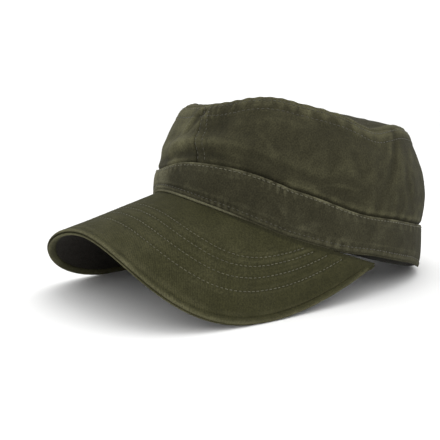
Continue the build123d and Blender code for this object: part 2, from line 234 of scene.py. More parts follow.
def normals_of(surface, u, v, nudge=1e-3):
    """Outward unit normals of surface(u, v)."""
    across = surface(u + nudge, v) - surface(u - nudge, v)
    upward = surface(u, v + nudge) - surface(u, v - nudge)
    return unit(np.cross(across, upward))


def raised(surface, relief):
    """The surface with relief(u, v) added along its normals."""
    def shape(u, v):
        u, v = np.broadcast_arrays(np.asarray(u, float), np.asarray(v, float))
        height = relief(u, v)
        return surface(u, v) + normals_of(surface, u, v) * height[..., None]
    return shape


# ---- wrinkles

def grain(points, size, seed=0.0):
    """Smooth noise between about -1 and 1 at points in mm, with features about `size` mm."""
    flat = np.asarray(points, float).reshape(-1, 3) / size + seed
    values = [noise.noise(Vector(point)) for point in flat.tolist()]
    return np.array(values).reshape(np.asarray(points).shape[:-1])


def puckers(along, spacing, seed):
    """Irregular gathers along a seam; `along` is the distance along it in mm."""
    slow = np.sin(along / (spacing * 2.3) + seed) + np.sin(along / (spacing * 3.7) + 2 * seed)
    strength = (0.5 + 0.3 * np.sin(along / (spacing * 1.3) + seed)
                + 0.3 * np.sin(along / (spacing * 3.1) + 3 * seed))
    return np.sin(2 * math.pi * along / spacing + 1.9 * slow) * strength


def scatter_creases(count, seed, width, height, length):
    """Short straight creases strewn over a flat `width` by `height` cloth, as rows of numbers."""
    random = np.random.default_rng(seed)
    middle_x = random.uniform(0, width, count)
    middle_y = random.uniform(0, height, count)
    turn = random.uniform(-0.9, 0.9, count) + random.choice([0, math.pi / 2], count, p=[0.65, 0.35])
    half = random.uniform(0.3, 1.0, count) * length / 2
    depth = random.uniform(-1, 1, count)
    spread = random.uniform(1.4, 3.4, count)
    return stacked(middle_x, middle_y, turn, half, depth, spread)


def crease_relief(creases, x, y):
    """Height of the scattered creases at cloth coordinates x, y."""
    total = np.zeros_like(x)
    for middle_x, middle_y, turn, half, depth, spread in creases:
        along = (x - middle_x) * math.cos(turn) + (y - middle_y) * math.sin(turn)
        away = (y - middle_y) * math.cos(turn) - (x - middle_x) * math.sin(turn)
        away = away + along ** 2 / (6 * half)
        fade = np.exp(-((along / half) ** 4))
        total += depth * fade * np.exp(-((away / spread) ** 2))
    return total


RING_LENGTH = 2 * (2 * END_SPAN * END_RADIUS + (math.pi - 2 * END_SPAN) * SIDE_RADIUS)
WALL_CREASES = scatter_creases(70, 11, RING_LENGTH, 70.0, 34.0)
FELL = 7.0                     # from a felled seam's line to its far stitch row
FELL_ROWS = (1.6, FELL)        # its two stitch rows
RIM_ROWS = (1.8, 7.2)          # stitch rows below the rim
SEAM_ANGLES = (0.0, BACK_SEAM, -BACK_SEAM)


def ring_distance(angle):
    """Distance round the band from its rear, in mm, near enough for cloth patterns."""
    return (np.asarray(angle) + math.pi) / (2 * math.pi) * RING_LENGTH


def seam_relief(across, along, seed):
    """A felled seam: a sunk line at 0 and a stitched double layer from 0 to FELL."""
    doubled = smooth(across, 0.0, 1.2) * (1 - smooth(across, FELL + 0.8, FELL + 2.2))
    beside = smooth(across, -1.5, 1.5) * (1 - smooth(across, FELL, FELL + 7))
    gathers = puckers(along, 5.2, seed) * beside
    upright = np.cos(across * 2 * math.pi / 5.6) * ridge(across, 7.0, 8.5) * smooth(along, 20, 32)
    stitched = ridge(across, FELL_ROWS[0], 0.9) + ridge(across, FELL_ROWS[1], 0.9)
    sunk = ridge(across, -0.2, 0.8)
    return 0.55 * doubled - 0.9 * sunk - 0.35 * stitched + 0.3 * gathers + 0.4 * upright


def seam_line(rise):
    """Where the front seam runs: it starts towards the wearer's left and straightens at the rim."""
    return blend(0.21, 0.03, np.clip(rise, 0, 1))


def wall_relief(angle, rise):
    """Slouch, folds, seams and puckers of the crown wall, in mm."""
    points = wall_base(angle, rise)
    height = rise * (rim_height(angle) - band_top(angle))
    from_rim = (rim_height(angle) - band_top(angle)) - height
    round_cap = ring_distance(angle)
    free = smooth(height, 0, 14) * smooth(from_rim, 2, 14)
    turned = wrapped(angle)

    relief = (1.5 * grain(points, 42.0, 3.1) * free
              + 0.6 * grain(points, 17.0, 7.7) * (0.3 + 0.7 * free))
    relief += 0.22 * grain(points, 7.5, 1.3)
    relief += 0.6 * crease_relief(WALL_CREASES, round_cap, height) * free

    # The front slouches over the band: a crease above the band and a roll over it.
    at_front = np.exp(-((turned - 0.10) / 0.62) ** 4)
    fold_line = 0.36 - 0.10 * turned + 0.04 * np.sin(4.1 * turned + 0.4)
    relief += at_front * (1.5 * ridge(rise, fold_line, 0.10)
                          - 1.7 * ridge(rise, fold_line - 0.22, 0.08))
    relief -= at_front * 0.8 * ridge(rise, fold_line + 0.20, 0.09)
    along_side = smooth(turned, 0.35, 0.7) * (1 - smooth(turned, 1.1, 1.5))
    relief -= 0.8 * along_side * ridge(rise, 0.30 - 0.1 * turned, 0.07)

    # A dent beside the front seam, with a slanting ridge along its left edge.
    relief -= 3.0 * ridge(turned, -0.30, 0.26) * ridge(rise, 0.62, 0.26)
    relief -= 1.6 * ridge(turned, 0.34, 0.16) * ridge(rise, 0.70, 0.20)
    slant = turned - blend(-0.22, 0.02, np.clip((rise - 0.45) / 0.5, -1, 2))
    upper = smooth(rise, 0.45, 0.7) * (1 - smooth(rise, 0.95, 1.0))
    relief += 0.7 * ridge(slant, 0.0, 0.05) * upper - 0.7 * ridge(slant, 0.10, 0.05) * upper

    # A soft fold slants down the wearer's left side, behind the temple, and a lesser one opposite.
    for side, depth, lean in ((1, 0.72, 0.34), (-1, 0.5, 0.22)):
        line = side * turned - blend(1.47, 1.47 + lean, rise)
        fading = smooth(rise, 0.15, 0.55) * (1 - 0.5 * smooth(rise, 0.8, 1.0))
        relief -= depth * ridge(line, 0.0, 0.032) * fading
        relief += 0.8 * depth * ridge(line, 0.085, 0.06) * fading

    # Gathers above the band, and the rim's doubled, twice-stitched edge.
    relief -= 1.3 * (1 - smooth(height, 0.0, 3.4))
    relief += 0.16 * puckers(round_cap, 11.0, 0.7) * ridge(height, 2.0, 7.0)
    relief += 0.14 * puckers(round_cap, 5.1, 4.2) * ridge(height, 0.0, 4.0)
    doubled = 1 - smooth(from_rim, RIM_ROWS[1] + 0.8, RIM_ROWS[1] + 2.6)
    relief += 0.5 * doubled - 1.1 * (1 - smooth(from_rim, 0.0, 1.5))
    relief += 0.30 * puckers(round_cap, 10.7, 2.9) * ridge(from_rim, 4.6, 4.0)
    relief += 0.12 * puckers(round_cap, 4.4, 0.9) * ridge(from_rim, 4.2, 3.6)
    for row in RIM_ROWS:
        relief -= 0.4 * ridge(from_rim, row, 0.8)

    # The three upright seams.
    for number, seam in enumerate(SEAM_ANGLES):
        away = wrapped(turned - seam) - (seam_line(rise) if seam == 0 else 0)
        side = -1.0 if seam < 0 else 1.0
        strength = 1.0 if seam == 0 else 0.7
        relief += strength * seam_relief(side * away * END_RADIUS, height, 1.7 + number)
    return relief


wall_cloth = raised(wall_base, wall_relief)


def follows_seam(surface):
    """The wall surface with its front panels' meeting line carried along the leaning front seam."""
    return lambda angle, rise: surface(angle + seam_line(rise) * ridge(wrapped(angle), 0, 0.5),
                                       rise)


def top_base(angle, share):
    """Domed top of the crown: share is 0 at its middle and 1 at the rim."""
    rim = wall_base(angle, np.ones_like(np.asarray(share, float)))
    return stacked(rim[..., 0] * share, rim[..., 1] * share,
        blend(TOP_MIDDLE, rim[..., 2], np.asarray(share) ** 2.6))


TOP_CREASES = scatter_creases(26, 17, 170.0, 170.0, 46.0)


def top_relief(angle, share):
    points = top_base(angle, share)
    from_rim = (1 - share) * 76.0
    inner = smooth(from_rim, 3, 16)
    relief = 2.2 * grain(points, 46.0, 5.2) * inner + 0.7 * grain(points, 17.0, 8.8) * inner
    relief += 0.5 * crease_relief(TOP_CREASES, points[..., 0] + 85, points[..., 1] + 85) * inner
    relief += 0.25 * grain(points, 7.0, 2.6)
    relief += 0.30 * puckers(ring_distance(angle), 10.7, 2.9) * ridge(from_rim, 2.5, 4.5)
    relief += 0.8 * ridge(from_rim, 2.6, 2.2) - 1.0 * (1 - smooth(from_rim, 0.0, 1.3))
    return relief


def top_cloth(angle, share):
    angle, share = np.broadcast_arrays(np.asarray(angle, float), np.asarray(share, float))
    points = top_base(angle, share)
    points[..., 2] += top_relief(angle, share)
    return points


def band_hem(angle):
    """The outer band's hem, which curls up a little behind the brim and bares the sweatband."""
    curled = np.exp(-((np.abs(wrapped(angle)) - CURL_ANGLE) / 0.33) ** 4)
    return hem_height(angle) + HEM_CURL * curled


def band_base(angle, rise):
    """Outer face of the band: rise is 0 at the hem and 1 at the top edge."""
    x, y = ring(angle)
    narrow = blend(1.0, BAND_WAIST + 0.012, rise)
    return stacked(x * narrow, y * narrow, blend(band_hem(angle), band_top(angle), rise))


BAND_TOP_ROW = 1.2             # stitch row below the band's top edge
BAND_LOW_ROW = 4.2             # stitch row above the hem
BAND_CREASES = scatter_creases(46, 5, RING_LENGTH, 28.0, 22.0)
SWEATBAND_INSET = 3.1          # sweatband's outer face, inside the band's outer face
STIFFENER_INSET = 1.55
LABEL_INSET = 4.5
STRAP_INSET = 1.65
HEM_CURL = 3.2                 # how far the hem curls up behind the brim
CURL_ANGLE = 1.73


def band_relief(angle, rise):
    points = band_base(angle, rise)
    tall = band_top(angle) - band_hem(angle)
    height = rise * tall
    from_top = tall - height
    round_cap = ring_distance(angle)
    relief = 0.45 * grain(points, 24.0, 9.4) + 0.20 * grain(points, 9.0, 4.4)
    relief += 0.9 * np.sin(math.pi * np.clip(rise, 0, 1)) ** 0.7
    free = smooth(height, 2, 8) * smooth(from_top, 2, 7)
    relief += 0.18 * crease_relief(BAND_CREASES, round_cap, height) * free
    relief += 0.20 * puckers(round_cap, 4.6, 1.1) * ridge(height, BAND_LOW_ROW - 0.5, 3.2)
    relief += 0.17 * puckers(round_cap, 5.4, 3.3) * ridge(from_top, BAND_TOP_ROW + 1.5, 3.0)
    relief -= 0.55 * ridge(height, BAND_LOW_ROW, 0.9) + 0.3 * ridge(from_top, BAND_TOP_ROW, 0.6)
    # The rear ends lie flat over the strap that slides behind them.
    over_strap = smooth(np.abs(wrapped(angle)), 1.95, 2.15)
    relief = blend(relief, np.maximum(relief, 0.0), over_strap)
    turned_in = 1 - smooth(height, blend(1.0, 0.2, over_strap), blend(2.8, 1.6, over_strap))
    return relief - blend(0.9, 0.4, over_strap) * turned_in


band_cloth = raised(band_base, band_relief)

BRIM_ROWS_FRONT = (22.5, 32.5, 41.5, 49.0)   # stitch rows, as distances from the brim's edge
BRIM_ROWS_SIDE = (18.0, 26.0, 33.0, 38.0)
BRIM_TOP = 1.6                 # outer face of the upper cover above the brim's middle
WELT = 3.4                     # width of the rolled welt at the edge
TIP = 0.035                    # radians of sweep left off each end of the brim
BOARD_CLEARANCE = 0.6          # how far the upper cover may sink towards the board
TAUT_ROWS = 170.0              # distance along the brim for one radian of sweep


def brim_width(sweep):
    """Distance from root to edge along a ruling, in mm."""
    one = np.ones_like(sweep)
    return np.linalg.norm(brim_base(sweep, one) - brim_base(sweep, 0 * one), axis=-1)


def edge_lean(sweep):
    """Sine of the angle between a ruling and the brim's edge."""
    one = np.ones_like(sweep)
    ruling = unit(brim_base(sweep, one) - brim_base(sweep, one * 0.98))
    edge = unit(brim_base(sweep + 1e-3, one) - brim_base(sweep - 1e-3, one))
    return np.linalg.norm(np.cross(ruling, edge), axis=-1)


def row_distance(sweep, row):
    at_front = smooth(np.minimum(sweep, math.pi - sweep), 0.3, 1.05)
    return blend(BRIM_ROWS_SIDE[row], BRIM_ROWS_FRONT[row], at_front)


def brim_relief(sweep, reach):
    points = brim_base(sweep, reach)
    from_edge = (1 - reach) * brim_width(sweep) * edge_lean(sweep)
    along = TAUT_ROWS * sweep
    relief = 0.55 * grain(points, 38.0, 6.1) + 0.16 * grain(points, 12.0, 2.2)
    for row in range(len(BRIM_ROWS_FRONT)):
        away = from_edge - row_distance(sweep, row)
        relief -= 0.34 * ridge(away, 0.0, 0.75)
        relief += 0.14 * puckers(along, 5.0, 1.3 + row) * ridge(away, 0.0, 3.6)
    relief -= 0.5 * (1 - smooth(from_edge, WELT, WELT + 1.4))
    return np.maximum(relief, -BOARD_CLEARANCE) + BRIM_TOP


def brim_low_relief(sweep, reach):
    return 0.35 * grain(brim_base(sweep, reach), 30.0, 4.0) - BRIM_TOP


brim_top_cloth = raised(brim_base, brim_relief)
brim_low_cloth = raised(brim_base, brim_low_relief)


# ---- meshes

UV_PER_MM = 0.01


def make_piece(name, points, faces, material, uv=None, wear_and_shade=None, body="cap", replaces=(),
               slot="olive_cloth"):
    """A smooth-shaded piece from points in the cap's frame; it rides on a CAD body."""
    placed = to_row(points)
    placed[:, 2] = np.maximum(placed[:, 2], FLOOR_GAP)
    mesh = bpy.data.meshes.new(name)
    mesh.from_pydata(placed.tolist(), [], faces)
    mesh.update()
    corners = np.empty(len(mesh.loops), dtype=np.int32)
    mesh.loops.foreach_get("vertex_index", corners)
    if uv is not None:
        layer = mesh.uv_layers.new(name="cloth")
        layer.data.foreach_set("uv", np.asarray(uv, float)[corners].ravel())
    if wear_and_shade is not None:
        worn_and_shaded = mesh.attributes.new("wear_and_shade", "FLOAT", "POINT")
        worn_and_shaded.data.foreach_set("value", np.asarray(wear_and_shade, float))
    mesh.polygons.foreach_set("use_smooth", [True] * len(mesh.polygons))
    piece = bpy.data.objects.new(name, mesh)
    bpy.context.scene.collection.objects.link(piece)
    piece.data.materials.append(material)
    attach(piece, body)
    if replaces:
        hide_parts(*replaces)
    return piece


def lattice_faces(rows, columns, closed_rows=False, closed_columns=False):
    """Quads over a rows by columns lattice of points stored row by row."""
    faces = []
    for row in range(rows if closed_rows else rows - 1):
        here = row * columns
        there = ((row + 1) % rows) * columns
        for column in range(columns if closed_columns else columns - 1):
            after = (column + 1) % columns
            faces.append((here + column, there + column, there + after, here + after))
    return faces


def steps_along(points):
    """Distance along each line of points in a lattice, line by line."""
    hops = np.linalg.norm(np.diff(points, axis=1), axis=-1)
    return np.concatenate([np.zeros((len(points), 1)), np.cumsum(hops, axis=1)], axis=1)


def convexity(points, normals, reach=3):
    """How far each lattice point stands above the middle of its neighbours, in mm."""
    total = np.zeros(points.shape[:2])
    for axis in (0, 1):
        padded = np.concatenate([np.take(points, [0] * reach, axis), points,
                                 np.take(points, [-1] * reach, axis)], axis)
        count = points.shape[axis]
        before = np.take(padded, range(0, count), axis)
        behind = np.take(padded, range(2 * reach, count + 2 * reach), axis)
        total += np.sum((points - (before + behind) / 2) * normals, axis=-1)
    return total


def lattice_normals(points):
    return unit(np.cross(np.gradient(points, axis=0), np.gradient(points, axis=1)))


def sheet(name, surface, us, vs, thickness, material, closed=False, wear_and_shade=None, flip=False, **facts):
    """A closed sheet of cloth whose outer face is surface(u, v), with softly rounded edges."""
    u, v = np.meshgrid(us, vs, indexing="ij")
    outer = surface(u, v)
    normals = lattice_normals(outer)
    if closed:
        ends = unit(normals[0] + normals[-1])
        normals[0] = normals[-1] = ends
    if flip:
        normals = -normals
    inner = outer - normals * thickness
    round_edge = thickness * 0.42
    first = unit(outer[:, :1] - outer[:, 1:2]) * round_edge + (outer[:, :1] + inner[:, :1]) / 2
    last = unit(outer[:, -1:] - outer[:, -2:-1]) * round_edge + (outer[:, -1:] + inner[:, -1:]) / 2
    loop = np.concatenate([outer, last, inner[:, ::-1], first], axis=1)
    if closed:
        loop = loop[:-1]
    rows, columns = loop.shape[:2]
    faces = lattice_faces(rows, columns, closed_rows=closed, closed_columns=True)
    if not closed:
        half = len(vs)
        for end, order in ((0, 1), ((rows - 1) * columns, -1)):
            front = list(range(end, end + half))
            behind = list(range(end + columns - 2, end + half, -1))
            for k in range(half - 1):
                faces.append((front[k], front[k + 1], behind[k + 1], behind[k])[::order])
            faces.append((front[-1], end + half, behind[-1])[::order])
            faces.append((behind[0], end + columns - 1, front[0])[::order])
    if flip:
        faces = [face[::-1] for face in faces]
    middle = steps_along(outer.transpose(1, 0, 2))[len(vs) // 2]
    up_cloth = steps_along(outer)
    flat_u = np.repeat(middle[:, None], columns, axis=1)
    flat_v = np.concatenate([up_cloth, up_cloth[:, -1:], up_cloth[:, ::-1], up_cloth[:, :1]],
                            axis=1)
    # Ridges come out paler as worn cloth; hollows come out darker as painted shade.
    outer_worn_and_shaded = np.clip(convexity(outer, normals) * 0.45, -1, 1)
    if wear_and_shade is not None:
        outer_worn_and_shaded = np.clip(outer_worn_and_shaded + wear_and_shade(u, v), -1, 1)
    worn_and_shaded = np.concatenate([outer_worn_and_shaded, outer_worn_and_shaded[:, -1:], outer_worn_and_shaded[:, ::-1] * 0.3,
                           outer_worn_and_shaded[:, :1]], axis=1)
    if closed:
        flat_u, flat_v, worn_and_shaded = flat_u[:-1], flat_v[:-1], worn_and_shaded[:-1]
    uv = stacked(flat_u.ravel(), flat_v.ravel()) * UV_PER_MM
    return make_piece(name, loop.reshape(-1, 3), faces, material, uv=uv, wear_and_shade=worn_and_shaded.ravel(), **facts)


def sweep_profile(name, path, out_axis, up_axis, profile, material, taper=1.0, size=1.0,
                  wear_and_shade=None, **facts):
    """Rolled cloth: `profile` is a closed outline in (out, up) mm, carried along a path."""
    profile = np.asarray(profile, float)
    along = steps_along(path[None])[0]
    from_end = np.minimum(along, along[-1] - along)
    scale = (size * np.sqrt(np.clip((from_end + 0.1) / taper, 0.04, 1)))[:, None, None]
    offsets = (profile[None, :, :1] * out_axis[:, None] * scale
               + profile[None, :, 1:] * up_axis[:, None] * scale)
    points = path[:, None] + offsets
    rows, columns = points.shape[:2]
    faces = lattice_faces(rows, columns, closed_columns=True)
    faces.append(tuple(range(columns)))
    faces.append(tuple(range((rows - 1) * columns, rows * columns))[::-1])
    around = np.concatenate([[0], np.cumsum(np.linalg.norm(np.diff(profile, axis=0), axis=-1))])
    uv = stacked(along[:, None], around[None]).reshape(-1, 2) * UV_PER_MM
    worn_and_shaded = np.zeros((rows, columns)) if wear_and_shade is None else np.broadcast_to(wear_and_shade, (rows, columns))
    return make_piece(name, points.reshape(-1, 3), faces, material, uv=uv, wear_and_shade=worn_and_shaded.ravel(),
                      **facts)


# A stitch's rings: place along it, share of the full radius, and height.
STITCH_RINGS = np.array([
    (-0.5, 0.35, -0.30), (-0.36, 0.85, 0.02), (0.0, 1.0, 0.16), (0.36, 0.85, 0.02),
    (0.5, 0.35, -0.30)])
stitch_random = np.random.default_rng(21)


def stitches(rows, length=2.3, pitch=3.1, radius=0.27):
    """Points and faces of thread stitches along rows of (points, outward normals), all in mm."""
    sides = 6
    ring_angles = np.arange(sides) * 2 * math.pi / sides
    blocks = []
    for points, normals in rows:
        along = steps_along(points[None])[0]
        count = max(int((along[-1] - length) / pitch), 1)
        start = (along[-1] - count * pitch) / 2 + pitch / 2
        centres = start + pitch * np.arange(count) + stitch_random.normal(0, 0.08, count)
        sizes = length * stitch_random.uniform(0.88, 1.08, count)
        places = centres[:, None] + STITCH_RINGS[None, :, 0] * sizes[:, None]
        line, out = (np.stack([np.interp(places, along, values[:, axis]) for axis in range(3)],
                              axis=-1)
                     for values in (points, normals))
        out = unit(out)
        heading = unit(line[:, -1:] - line[:, :1])
        aside = unit(np.cross(heading, out))
        lean = stitch_random.normal(0, 0.09, count)[:, None, None] * STITCH_RINGS[None, :, :1] * 2
        line = line + out * STITCH_RINGS[None, :, 2:] + aside * lean
        round_thread = (np.cos(ring_angles)[:, None] * aside[:, :, None] +
                        0.75 * np.sin(ring_angles)[:, None] * out[:, :, None])
        rings = line[:, :, None] + radius * STITCH_RINGS[None, :, 1, None, None] * round_thread
        blocks.append(rings.reshape(count, -1, 3))
    vertices = np.concatenate(blocks)
    one = lattice_faces(len(STITCH_RINGS), sides, closed_columns=True)
    one.append(tuple(range(sides))[::-1])
    last = (len(STITCH_RINGS) - 1) * sides
    one.append(tuple(range(last, last + sides)))
    per_stitch = vertices.shape[1]
    faces = [tuple(corner + per_stitch * number for corner in face)
             for number in range(len(vertices)) for face in one]
    return vertices.reshape(-1, 3), faces


def stitch_piece(name, rows, material, body="cap", **sizes):
    points, faces = stitches(rows, **sizes)
    make_piece(name, points, faces, material, body=body)


def row_on(surface, us, vs, lift=0.05):
    """A stitch row on surface(u, v): its points and outward normals."""
    us, vs = np.broadcast_arrays(np.asarray(us, float), np.asarray(vs, float))
    normals = normals_of(surface, us, vs, nudge=4e-3)
    return surface(us, vs) + normals * lift, normals


# ---- materials

def linear(red, green, blue):
    """A colour given in screen values from 0 to 255 as linear light."""
    shades = [level / 255 for level in (red, green, blue)]
    return tuple(((s + 0.055) / 1.055) ** 2.4 if s > 0.04045 else s / 12.92
                 for s in shades) + (1.0,)


class Shader:
    """A material's node tree, with short ways to add to it."""

    def __init__(self, name):
        self.material = bpy.data.materials.new(name)
        self.material.use_nodes = True
        self.tree = self.material.node_tree
        self.tree.nodes.clear()
        output = self.add("OutputMaterial")
        self.surface = self.add("BsdfPrincipled")
        self.tree.links.new(self.surface.outputs["BSDF"], output.inputs["Surface"])
        self.place = self.add("TexCoord").outputs["Object"]

    def feed(self, socket, value):
        if hasattr(value, "links"):
            self.tree.links.new(value, socket)
        else:
            socket.default_value = value

    def set(self, node, **values):
        """Feeds a node's inputs by name; an underscore stands for a space."""
        for key, value in values.items():
            self.feed(node.inputs[key.replace("_", " ")], value)
        return node

    def add(self, kind, **values):
        return self.set(self.tree.nodes.new("ShaderNode" + kind), **values)

    def noise(self, scale, detail=3.0, rough=0.55, source=None):
        node = self.add("TexNoise", Scale=scale, Detail=detail, Roughness=rough,
                        Vector=source or self.place)
        return node.outputs["Fac"]

    def math(self, operation, first, second=0.0, clamp=False):
        node = self.add("Math")
        node.operation = operation
        node.use_clamp = clamp
        self.feed(node.inputs[0], first)
        self.feed(node.inputs[1], second)
        return node.outputs[0]

    def times(self, first, second, clamp=False):
        return self.math("MULTIPLY", first, second, clamp)

    def plus(self, first, second):
        return self.math("ADD", first, second)

    def wave(self, value):
        return self.math("SINE", value)

    def mix(self, share, first, second, kind="MIX"):
        node = self.add("Mix")
        node.data_type = "RGBA"
        node.blend_type = kind
        for number, value in ((0, share), (6, first), (7, second)):
            self.feed(node.inputs[number], value)
        return node.outputs[2]

    def fade(self, value, low, high):
        return self.add("MapRange", From_Min=low, From_Max=high, Value=value).outputs["Result"]

    def bump(self, height, strength, distance, under=None):
        """A bumped normal; distance in metres."""
        node = self.add("Bump", Strength=strength, Distance=distance, Height=height)
        if under:
            self.feed(node.inputs["Normal"], under)
        return node.outputs["Normal"]


def mix_shade(first, second, share):
    return tuple(a + (b - a) * share for a, b in zip(first, second))


def cloth_material(name, base, faded, dark, twill=True, yarn=0.9, bump=0.35):
    """Woven cotton: twill or plain weave, uneven dye, paler worn ridges and painted shade in
    hollows and gaps.
    """
    shader = Shader(name)
    flat = shader.add("UVMap")
    flat.uv_map = "cloth"
    split = shader.add("SeparateXYZ", Vector=flat.outputs["UV"])
    warp, weft = split.outputs[0], split.outputs[1]
    turns = 2 * math.pi / (yarn * UV_PER_MM)
    if twill:
        lean = shader.plus(shader.times(warp, turns * 0.86), shader.times(weft, turns * 0.5))
        weave = shader.wave(shader.plus(lean, shader.times(shader.noise(900.0), 2.4)))
    else:
        weave = shader.times(shader.wave(shader.times(warp, turns)),
                             shader.wave(shader.times(weft, turns)))
    cross = shader.wave(shader.times(warp, turns * 1.9))
    threads = shader.plus(weave, shader.times(cross, 0.35))

    broad = shader.noise(22.0, 4.0)
    patchy = shader.noise(110.0, 5.0, 0.65)
    speck = shader.noise(1100.0, 2.0, 0.7)
    worn_and_shaded = shader.add("Attribute")
    worn_and_shaded.attribute_name = "wear_and_shade"
    rubbed = shader.times(shader.fade(worn_and_shaded.outputs["Fac"], 0.06, 0.75), shader.plus(patchy, 0.35),
                          clamp=True)
    # Negative wear stands for painted shade in hollows, creases and gaps, and darkens the colour.
    sunk = shader.fade(worn_and_shaded.outputs["Fac"], -0.04, -0.55)

    colour = shader.mix(shader.fade(broad, 0.3, 0.7), base, mix_shade(base, faded, 0.16))
    colour = shader.mix(shader.fade(patchy, 0.62, 0.25), colour, mix_shade(base, dark, 0.22))
    colour = shader.mix(shader.times(sunk, 0.4), colour, dark)
    colour = shader.mix(rubbed, colour, faded)
    colour = shader.mix(0.55, colour, shader.fade(speck, 0.2, 0.8), "OVERLAY")
    colour = shader.mix(0.24, colour, shader.fade(threads, -1.3, 1.3), "OVERLAY")

    small = shader.plus(shader.times(threads, 0.5), shader.times(speck, 1.3))
    crumple = shader.bump(shader.noise(210.0, 4.0, 0.5), 0.55, 0.0012)
    shader.set(shader.surface, Base_Color=colour,
               Roughness=shader.plus(0.84, shader.times(patchy, 0.14)),
               Specular_IOR_Level=0.12, Sheen_Weight=0.04, Sheen_Roughness=0.55,
               Sheen_Tint=mix_shade(faded, (1, 1, 1, 1), 0.05),
               Normal=shader.bump(small, bump, 0.00022, under=crumple))
    return shader.material


def thread_material(name, base, worn_tone):
    """Cotton thread with a twist and uneven fading."""
    shader = Shader(name)
    twist = shader.noise(2600.0, 2.0)
    colour = shader.mix(shader.fade(shader.noise(160.0, 4.0), 0.3, 0.72), base, worn_tone)
    colour = shader.mix(0.4, colour, shader.fade(twist, 0.2, 0.8), "OVERLAY")
    shader.set(shader.surface, Base_Color=colour, Roughness=0.75, Sheen_Weight=0.2,
               Normal=shader.bump(twist, 0.5, 0.0002))
    return shader.material


def metal_material():
    """Aged brass: dull brown tarnish, rubbed brighter in patches, with fine scratches."""
    shader = Shader("aged_brass")
    grime = shader.noise(900.0, 4.0, 0.7)
    stretch = shader.add("Mapping", Scale=(300.0, 300.0, 6000.0), Vector=shader.place)
    scratch = shader.noise(1.0, 2.0, source=stretch.outputs["Vector"])
    rubbed = shader.fade(shader.noise(260.0, 5.0, 0.6), 0.35, 0.7)
    colour = shader.mix(rubbed, linear(74, 62, 40), linear(150, 124, 76))
    colour = shader.mix(shader.fade(grime, 0.62, 0.8), colour, linear(38, 33, 24))
    shader.set(shader.surface, Base_Color=colour, Metallic=1.0,
               Roughness=shader.plus(0.3, shader.times(grime, 0.35)),
               Normal=shader.bump(scratch, 0.25, 0.0001))
    return shader.material


def mottled_material(name, scale, detail, first, second, rough):
    """A plain surface that drifts between two near tones."""
    shader = Shader(name)
    colour = shader.mix(shader.noise(scale, detail), first, second)
    shader.set(shader.surface, Base_Color=colour, Roughness=rough)
    return shader.material


OLIVE = linear(47, 45, 31)
OLIVE_FADED = linear(84, 82, 60)
OLIVE_DARK = linear(26, 25, 17)
twill = cloth_material("olive_twill", OLIVE, OLIVE_FADED, OLIVE_DARK)
brim_twill = cloth_material("olive_twill_brim", linear(46, 45, 25), OLIVE_FADED, OLIVE_DARK,
                            bump=0.3)
band_twill = cloth_material("olive_twill_band", linear(45, 43, 30), linear(98, 96, 75), OLIVE_DARK)
# The brim's under cover is the same olive drawn darker and greyer, as painted shade under the brim.
under_twill_shaded = cloth_material("olive_twill_under_shaded", linear(42, 39, 35), linear(60, 57, 50),
                             linear(27, 25, 24))
# The sweatband cotton is drawn darker than the cap cloth, as painted shade inside the cap.
sweat_cloth_shaded = cloth_material("sweatband_cotton_shaded", linear(30, 29, 25), linear(52, 50, 43),
                             linear(17, 16, 14), twill=False, yarn=0.7)
tape_cloth = cloth_material("seam_tape_cotton", linear(62, 60, 44), linear(92, 90, 70),
                            linear(34, 32, 24), twill=False, yarn=1.1)
stiff_cloth = cloth_material("stiffening_canvas", linear(166, 160, 142), linear(190, 186, 170),
                             linear(120, 114, 98), twill=False, yarn=1.3)
label_cloth = cloth_material("label_satin", linear(186, 184, 170), linear(205, 203, 192),
                             linear(150, 148, 134), twill=False, yarn=0.5)
board_plastic = mottled_material("brim_board_plastic", 80.0, 3.0, linear(150, 152, 146),
                                 linear(176, 177, 170), 0.5)
thread = thread_material("olive_thread", linear(57, 55, 38), linear(90, 88, 65))
soft_thread = thread_material("faded_in_thread", linear(42, 40, 27), linear(62, 60, 42))
dark_thread = thread_material("dark_thread", linear(58, 56, 42), linear(92, 90, 70))
brass = metal_material()

# ---- crown

DETAIL = 1.15          # mesh spacing in mm


def spaced(start, end, length):
    return np.linspace(start, end, max(int(length / DETAIL), 3))


SEAM_HALF_GAP = 0.0008                        # radians between a panel's edge and the seam
WALL_TALL = 66                                # height of the crown wall, for mesh spacing
CROWN_CLOTH = 0.9                             # cloth thicknesses
BAND_CLOTH = 1.05
SWEATBAND_CLOTH = 1.0
BRIM_CLOTH = 0.55
wall_rises = np.concatenate([np.linspace(-0.12, -0.02, 4), spaced(0.0, 1.0, WALL_TALL)])


def crown_wear_and_shade(angle, rise):
    """Uneven fading, paler beside the front seam and along the rim, with patches of painted shade
    in the dent beside the front seam and above the band at the front.
    """
    points = wall_base(angle, rise)
    turned = wrapped(angle)
    from_rim = (1 - rise) * (rim_height(angle) - band_top(angle))
    beside_seam = smooth(turned, -1.3, -0.8) * (1 - smooth(turned, -0.2, 0.05))
    fading = 0.04 + 0.18 * grain(points, 17.0, 12.3) + 0.04 * grain(points, 6.0, 2.9)
    fading += beside_seam * (0.48 + 0.28 * grain(points, 9.0, 5.6))
    fading += 0.45 * ridge(from_rim, 1.6, 1.6) * np.clip(0.5 + grain(points, 8.0, 3.7), 0, 1.4)
    # Painted shade in patches: in the dent beside the front seam and above the band at the front.
    shade_patches = np.clip(0.35 + 1.2 * grain(points, 13.0, 8.8), 0, 1)
    on_seam = ridge(turned, 0.16, 0.22) * ridge(rise, 0.74, 0.22)
    above_band = (ridge(rise, 0.08, 0.16) * smooth(turned, -0.9, -0.4)
                  * (1 - smooth(turned, 0.7, 1.2)))
    return fading - shade_patches * (1.1 * on_seam + 0.9 * above_band)


